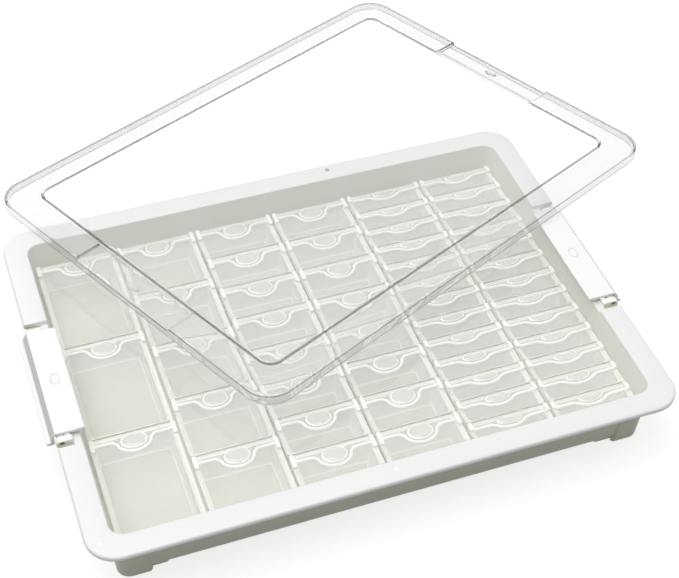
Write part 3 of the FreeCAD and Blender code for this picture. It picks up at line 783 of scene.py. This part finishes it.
def flip_lid_mesh(kind, half_x, half_y):
    """Clear flip lid with a rib, thumb bay and dome, and ears at its back corners. The rib, ears and dome's
    rim are whitish painted highlights and the lid's edges painted light.
    """
    top = LID_THICKNESS

    def build(shape):
        section = rounded_corners([
            (3 * MM, 0, 0), (0, 0, 0.35 * MM), (0, top, 0.5 * MM), (3 * MM, top, 0),
        ], steps=3)
        loops = []
        for inset, z in section:
            line = ring_line(half_x - inset, half_y - inset, max(1.8 * MM - inset, 0.3 * MM), (), 4)
            loops.append([Vector((x, y, z)) for x, y, _ in line])
        # Lid edge rows take the fourth material, painted light along the lid's edges.
        edge_rows = [3 * int(max(a[0], b[0]) < 0.6 * MM) for a, b in zip(section, section[1:])]
        skin_loops(shape, loops, row_materials=edge_rows)
        # The rib takes the whitish second material, a painted highlight.
        sweep(shape, rib_path(half_x, half_y), top - 0.1 * MM, RIB_WIDTH, RIB_HEIGHT, material=1)
        ear_front = half_y - min(EAR_LENGTH, 0.7 * half_y)
        for side in (-1, 1):
            ear = [
                (side * (half_x - EAR_WIDTH), ear_front, 0.8 * MM),
                (side * half_x, ear_front, 0.8 * MM),
                (side * half_x, half_y, 1.4 * MM),
                (side * (half_x - EAR_WIDTH), half_y, 0.8 * MM),
            ]
            line = rounded_corners(ear, closed=True)
            lows = [Vector((u, v, top - 0.2 * MM)) for u, v in line]
            highs = [Vector((u, v, top + RIB_HEIGHT - 0.3 * MM)) for u, v in line]
            mid_u = sum(u for u, v in line) / len(line)
            mid_v = sum(v for u, v in line) / len(line)
            tops = [
                Vector((mid_u + (u - mid_u) * 0.82, mid_v + (v - mid_v) * 0.94, top + RIB_HEIGHT))
                for u, v in line
            ]
            # The ears take the whitish third material, a painted highlight.
            skin_loops(shape, [lows, highs, tops], material=2)
        along, across, centre = thumb_oval(half_y)
        loops = []
        for scale, height in (
            (1.0, -0.1), (0.97, 0.35), (0.86, 0.72), (0.68, 0.95), (0.45, 1.08), (0.2, 1.14),
        ):
            loops.append([
                Vector((
                    (along - THUMB_GROOVE) * scale * math.cos(a),
                    centre + (across - THUMB_GROOVE) * scale * math.sin(a),
                    top + height * MM,
                ))
                for a in (2 * math.pi * k / 28 for k in range(28))
            ])
        # The dome's two outer rows take the rib's whitish material, a painted highlight round the dome.
        skin_loops(shape, loops, row_materials=[1, 1, 0, 0, 0])

    piece = mesh_piece(f"{kind}_flip_lid", build)
    for material in (lid_clear, rib_highlight_milky, ear_highlight_milky, edge_milky_lit):
        piece.data.materials.append(material)
    return piece


def container_spots():
    """Every container's place, kind and row, read from the flip lid nodes of the frame."""
    spots = []
    for name in sorted(nodes):
        if "_lid_c" in name:
            low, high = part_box(name)
            spots.append((name, (low + high) / 2, (high - low) / 2, low.z))
    return spots


def make_containers():
    tub_low, tub_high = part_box("large_container_c1_r01")
    height = tub_high.z - tub_low.z
    lids = {}
    tubs = {}
    stand_in = None
    for name, middle, half, bottom in container_spots():
        kind = name.split("_")[0]
        if kind not in lids:
            lids[kind] = flip_lid_mesh(kind, half.x, half.y)
            tubs[kind] = tub_mesh(kind, half.x, half.y, height)
            lids[kind].hide_render = tubs[kind].hide_render = True
            bpy.context.scene.collection.objects.unlink(lids[kind])
            bpy.context.scene.collection.objects.unlink(tubs[kind])
        lid = bpy.data.objects.new(f"{name}_plate", lids[kind].data)
        bpy.context.scene.collection.objects.link(lid)
        lid.location = (middle.x, middle.y, bottom)
        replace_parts(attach(lid, name), name)
        tub_name = name.replace("_lid", "_container")
        tub = bpy.data.objects.new(f"{tub_name}_tub", tubs[kind].data)
        bpy.context.scene.collection.objects.link(tub)
        tub.location = (middle.x, middle.y, tub_low.z)
        loose = tub_name in nodes
        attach(tub, tub_name if loose else "tray")
        if loose:
            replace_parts(tub, tub_name)
        elif stand_in is None:
            stand_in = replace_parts(tub, "seated_containers")


def seen_directly(tree):
    """One where the camera sees a surface itself, or through glass or in a gloss, and else zero."""
    path = tree.nodes.new("ShaderNodeLightPath")
    found = path.outputs["Is Camera Ray"]
    for ray in ("Is Glossy Ray", "Is Transmission Ray"):
        most = tree.nodes.new("ShaderNodeMath")
        most.operation = "MAXIMUM"
        link(tree, found, most.inputs[0])
        link(tree, path.outputs[ray], most.inputs[1])
        found = most.outputs[0]
    return found


def make_stage():
    """Pale floor that shows white to the camera and keeps the box's soft shadow."""
    def build(shape):
        loops = [[Vector((x * 6, y * 6, 0)) for x, y in ((-1, -1), (1, -1), (1, 1), (-1, 1))]]
        shape.faces.new([shape.verts.new(p) for p in loops[0]])

    floor = mesh_piece("floor", build)
    floor.location.z = -0.0002
    material = bpy.data.materials.new("floor_white")
    material.use_nodes = True
    tree = material.node_tree
    shader = tree.nodes["Principled BSDF"]
    shader.inputs["Base Color"].default_value = (0.3, 0.3, 0.29, 1)
    shader.inputs["Roughness"].default_value = 0.9
    glow = tree.nodes.new("ShaderNodeMath")
    glow.operation = "MULTIPLY"
    glow.inputs[1].default_value = 0.78
    link(tree, seen_directly(tree), glow.inputs[0])
    shader.inputs["Emission Color"].default_value = (1, 1, 1, 1)
    link(tree, glow.outputs[0], shader.inputs["Emission Strength"])
    floor.data.materials.append(material)


def make_world():
    world = bpy.data.worlds.new("studio")
    bpy.context.scene.world = world
    world.use_nodes = True
    tree = world.node_tree
    background = tree.nodes["Background"]
    background.inputs["Color"].default_value = (1, 1, 1, 1)
    where = tree.nodes.new("ShaderNodeTexCoord")
    split = tree.nodes.new("ShaderNodeSeparateXYZ")
    link(tree, where.outputs["Generated"], split.inputs[0])
    rise = tree.nodes.new("ShaderNodeMapRange")
    rise.inputs["From Min"].default_value = 0.0
    rise.inputs["From Max"].default_value = 0.9
    rise.inputs["To Min"].default_value = 0.15
    rise.inputs["To Max"].default_value = 0.82
    link(tree, split.outputs["Z"], rise.inputs["Value"])
    white = tree.nodes.new("ShaderNodeMath")
    white.operation = "MAXIMUM"
    link(tree, rise.outputs["Result"], white.inputs[0])
    link(tree, seen_directly(tree), white.inputs[1])
    link(tree, white.outputs[0], background.inputs["Strength"])


def make_lamp(name, place, aim, size, power):
    lamp = bpy.data.lights.new(name, "AREA")
    lamp.shape = "DISK"
    lamp.size = size
    lamp.energy = power
    thing = bpy.data.objects.new(name, lamp)
    bpy.context.scene.collection.objects.link(thing)
    thing.location = place
    thing.rotation_euler = (Vector(aim) - Vector(place)).to_track_quat("-Z", "Y").to_euler()


def make_camera():
    """Camera at the photograph's heading, height and roll."""
    heading, down, roll = (math.radians(v) for v in (20.41, 45.07, 1.26))
    forward = Vector((
        math.sin(heading) * math.cos(down), math.cos(heading) * math.cos(down), -math.sin(down),
    ))
    camera = bpy.data.cameras.new("camera")
    camera.sensor_width = 36.0
    camera.lens = 78.64
    camera.clip_start = 0.01
    camera.clip_end = 50.0
    thing = bpy.data.objects.new("camera", camera)
    bpy.context.scene.collection.objects.link(thing)
    thing.location = Vector((-201.9, -564.6, 663.1)) * MM
    turn = forward.to_track_quat("-Z", "Y").to_matrix().to_4x4()
    thing.matrix_world = (
        Matrix.Translation(thing.location) @ turn @ Matrix.Rotation(roll, 4, "Z")
    )
    bpy.context.scene.camera = thing


make_tray()
make_feet()
make_corner_panels()
make_lugs()
make_moulding_marks()
make_latch("latch_left", -1)
make_latch("latch_right", 1)
make_cover()
make_containers()
make_stage()
make_world()
make_lamp("top_light", (-0.35, 0.1, 1.7), (0, 0, 0), 1.7, 15)
make_lamp("spark_light", (-0.36, 1.12, 1.2), (0, 0, 0), 0.06, 1.2)
make_camera()
scene = bpy.context.scene
scene.view_settings.view_transform = "Standard"
scene.cycles.transparent_max_bounces = 32
scene.cycles.transmission_bounces = 16
scene.cycles.max_bounces = 20
scene.cycles.caustics_reflective = False
scene.cycles.caustics_refractive = False
